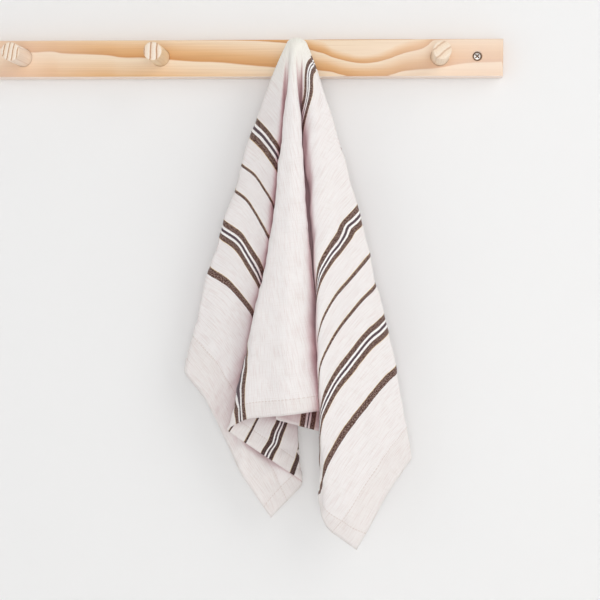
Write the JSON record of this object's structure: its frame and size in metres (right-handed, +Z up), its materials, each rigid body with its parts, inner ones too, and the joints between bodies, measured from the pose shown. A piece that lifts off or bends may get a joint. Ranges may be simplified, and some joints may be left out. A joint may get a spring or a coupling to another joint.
{
  "type": "tea towel on peg rail",
  "caption": "Striped tea towel hooked over a peg of a wall-mounted wooden peg rail, hanging in an uneven fan of soft folds.",
  "frame": {"origin": "middle of the board's back face, where it meets the wall", "axes": "+X along the board to the right as seen from the room, +Y into the wall, +Z up; the pegs and the towel are at -Y"},
  "size_m": [0.572, 0.083, 0.5295],
  "materials": {
    "board": "planed pine, waxed, satin",
    "pegs": "turned pine dowel, waxed, satin",
    "screws": "zinc plated, satin",
    "towel": "plain-woven linen and cotton with dark stripes"
  },
  "bodies": {
    "root": {"rail": "board", "peg_1": "pegs", "peg_2": "pegs", "peg_3": "pegs", "peg_4": "pegs", "screw_left": "screws", "screw_right": "screws", "towel": "towel"}
  },
  "joints": []
}
